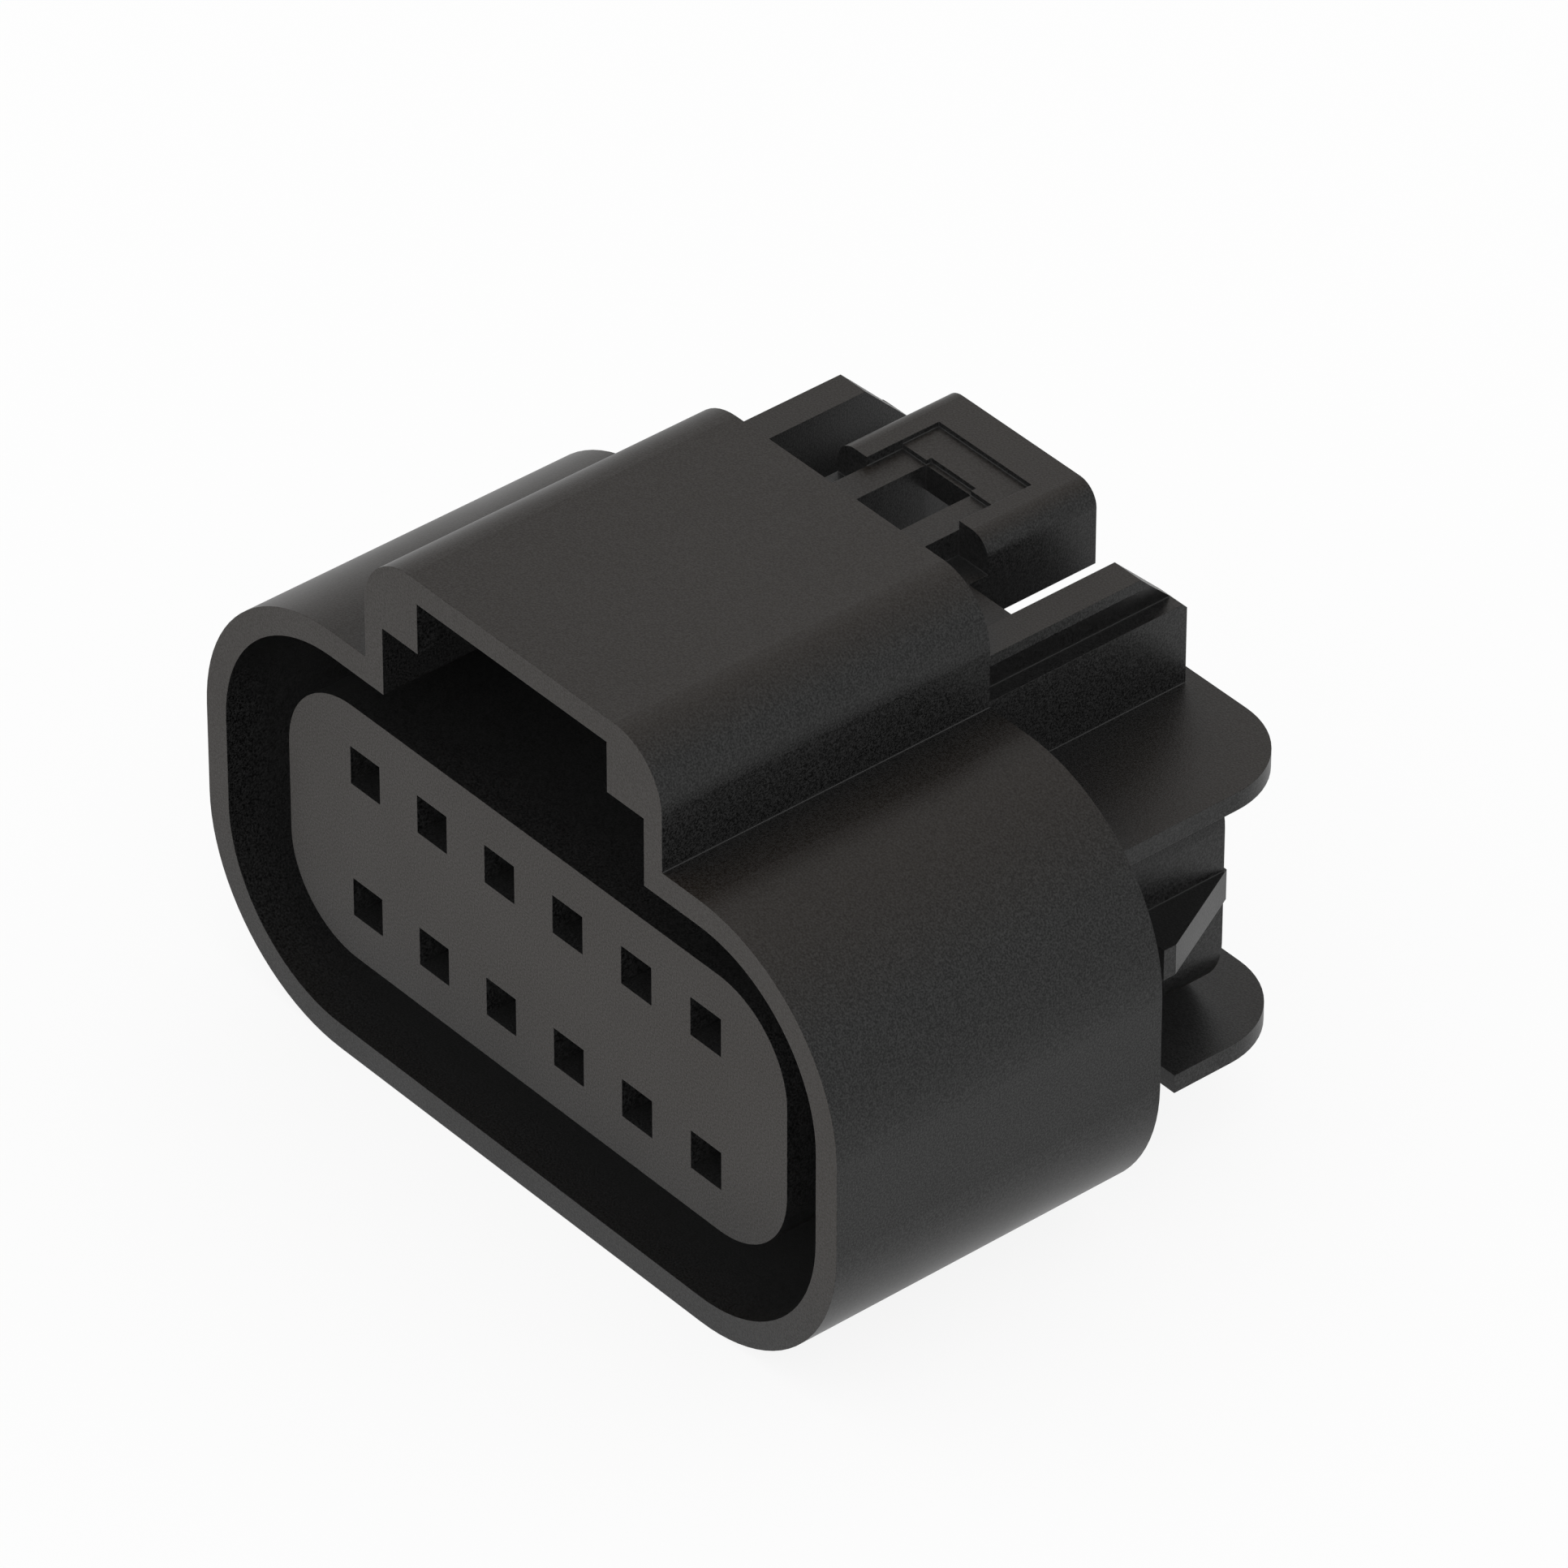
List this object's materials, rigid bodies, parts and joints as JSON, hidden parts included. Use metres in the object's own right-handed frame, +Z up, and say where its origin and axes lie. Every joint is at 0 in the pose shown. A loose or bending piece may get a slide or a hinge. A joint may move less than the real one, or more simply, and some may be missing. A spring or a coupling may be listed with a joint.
{
  "type": "multi-pin connector",
  "caption": "Black sealed cable connector: socket side with a deep oval shroud, a hooded thumb latch between guard posts and rear flanges.",
  "frame": {"origin": "centre of the mating face, where the middle of the nose meets the other half", "axes": "+X along the rows of mouths, +Y back from the mating face towards the wires, +Z up towards the latch"},
  "size_m": [0.037, 0.0261, 0.025],
  "materials": {
    "housing_plastic": "matte moulded black",
    "seal_rubber": "matte dark grey",
    "contact_brass": "tin plated"
  },
  "bodies": {
    "root": {"connector_housing": "housing_plastic", "front_terminal_lock": "housing_plastic", "ring_seal": "seal_rubber", "mat_seal": "seal_rubber", "rear_seal_cover": "housing_plastic", "socket_contact_01": "contact_brass", "socket_contact_02": "contact_brass", "socket_contact_03": "contact_brass", "socket_contact_04": "contact_brass", "socket_contact_05": "contact_brass", "socket_contact_06": "contact_brass", "socket_contact_07": "contact_brass", "socket_contact_08": "contact_brass", "socket_contact_09": "contact_brass", "socket_contact_10": "contact_brass", "socket_contact_11": "contact_brass", "socket_contact_12": "contact_brass"}
  },
  "joints": []
}
